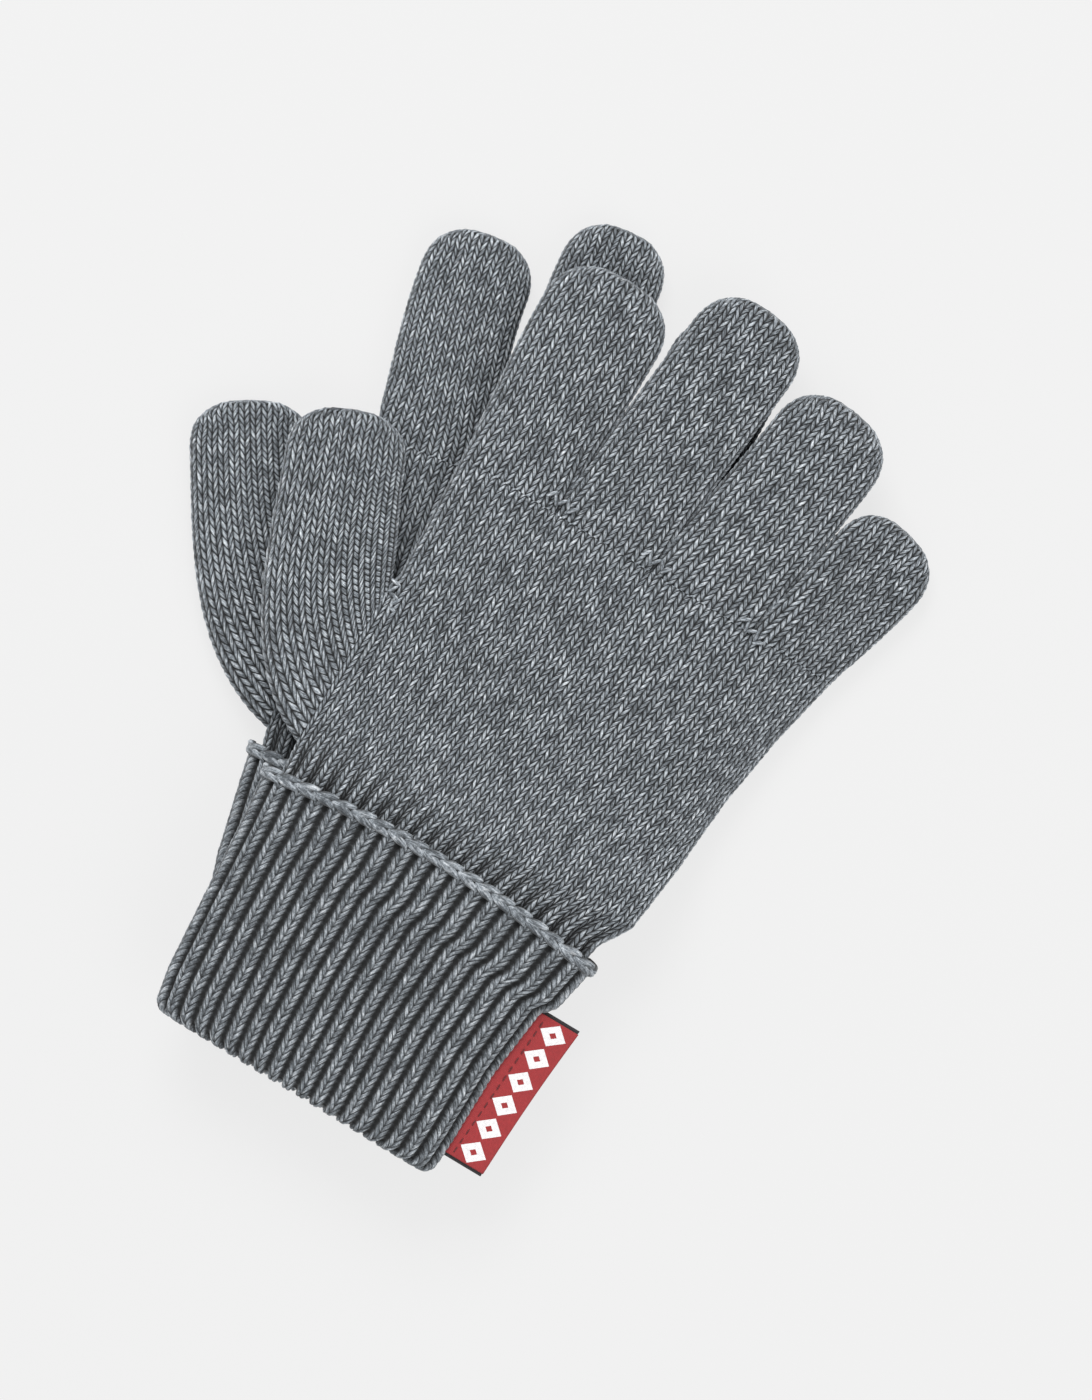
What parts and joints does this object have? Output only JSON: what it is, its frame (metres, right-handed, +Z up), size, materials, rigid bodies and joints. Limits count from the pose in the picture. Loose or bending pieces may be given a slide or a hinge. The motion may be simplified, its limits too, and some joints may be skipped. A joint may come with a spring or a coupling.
{
  "type": "pair of knitted gloves",
  "caption": "Grey melange knitted gloves laid flat as a stacked pair, with ribbed turned-up cuffs and a woven side label.",
  "frame": {"origin": "middle of the bounding box's underside, on the table", "axes": "+Y from the upper glove's cuff to its fingertips, +Z up from the table, +X away from both thumbs"},
  "size_m": [0.182, 0.2328, 0.0305],
  "materials": {
    "knit": "grey melange stocking stitch",
    "rib": "grey melange ribbing",
    "label_red": "woven satin",
    "label_dark": "woven backing"
  },
  "bodies": {
    "lower_hand": {"lower_hand": "knit", "lower_ribbed_cuff": "rib", "lower_cast_off_chain": "rib"},
    "upper_hand": {"upper_hand": "knit", "upper_ribbed_cuff": "rib", "upper_cast_off_chain": "rib", "upper_thumb_crotch_darn": "knit", "upper_index_crotch_darn": "knit", "upper_middle_crotch_darn": "knit", "upper_ring_crotch_darn": "knit"},
    "lower_thumb": {"lower_thumb": "knit"},
    "lower_index": {"lower_index": "knit"},
    "lower_middle": {"lower_middle": "knit"},
    "lower_ring": {"lower_ring": "knit"},
    "lower_little": {"lower_little": "knit"},
    "upper_thumb": {"upper_thumb": "knit"},
    "upper_index": {"upper_index": "knit"},
    "upper_middle": {"upper_middle": "knit"},
    "upper_ring": {"upper_ring": "knit"},
    "upper_little": {"upper_little": "knit"},
    "label": {"label_face": "label_red", "label_backing": "label_dark", "label_seam": "label_dark"}
  },
  "joints": [
    {"name": "upper_glove_lift", "type": "slide", "parent": "lower_hand", "child": "upper_hand", "axis": [0, 0, 1], "range_m": [0, 0.12]},
    {"name": "upper_thumb_curl", "type": "hinge", "parent": "upper_hand", "child": "upper_thumb", "pos_m": [-0.02602, -0.01778, 0.02293], "axis": [-0.0199, 0.9905, -0.1361], "range_deg": [0, 70]},
    {"name": "upper_index_curl", "type": "hinge", "parent": "upper_hand", "child": "upper_index", "pos_m": [-0.01372, 0.04362, 0.01986], "axis": [1, 0, 0], "range_deg": [0, 80]},
    {"name": "upper_middle_curl", "type": "hinge", "parent": "upper_hand", "child": "upper_middle", "pos_m": [0.01423, 0.04362, 0.01986], "axis": [1, 0, 0], "range_deg": [0, 80]},
    {"name": "upper_ring_curl", "type": "hinge", "parent": "upper_hand", "child": "upper_ring", "pos_m": [0.04358, 0.04362, 0.01986], "axis": [1, 0, 0], "range_deg": [0, 80]},
    {"name": "upper_little_curl", "type": "hinge", "parent": "upper_hand", "child": "upper_little", "pos_m": [0.07083, 0.04362, 0.01487], "axis": [0.9222, 0, -0.3867], "range_deg": [0, 80]},
    {"name": "lower_thumb_curl", "type": "hinge", "parent": "lower_hand", "child": "lower_thumb", "pos_m": [-0.0387, -0.02046, 0.00082], "axis": [0.194, -0.9795, 0.0542], "range_deg": [0, 70]},
    {"name": "lower_index_curl", "type": "hinge", "parent": "lower_hand", "child": "lower_index", "pos_m": [-0.03679, 0.03954, -0.00034], "axis": [-0.9848, -0.1736, 0], "range_deg": [0, 80]},
    {"name": "lower_middle_curl", "type": "hinge", "parent": "lower_hand", "child": "lower_middle", "pos_m": [-0.00927, 0.04439, -0.00034], "axis": [-0.9848, -0.1736, 0], "range_deg": [0, 80]},
    {"name": "lower_ring_curl", "type": "hinge", "parent": "lower_hand", "child": "lower_ring", "pos_m": [0.01963, 0.04949, -0.00034], "axis": [-0.9848, -0.1736, 0], "range_deg": [0, 80]},
    {"name": "lower_little_curl", "type": "hinge", "parent": "lower_hand", "child": "lower_little", "pos_m": [0.04647, 0.05422, -0.00034], "axis": [-0.9848, -0.1736, 0], "range_deg": [0, 80]},
    {"name": "label_flip", "type": "hinge", "parent": "upper_hand", "child": "label", "pos_m": [0.06377, -0.08838, 0.02301], "axis": [-0.0516, -0.9987, 0], "range_deg": [0, 90]}
  ]
}
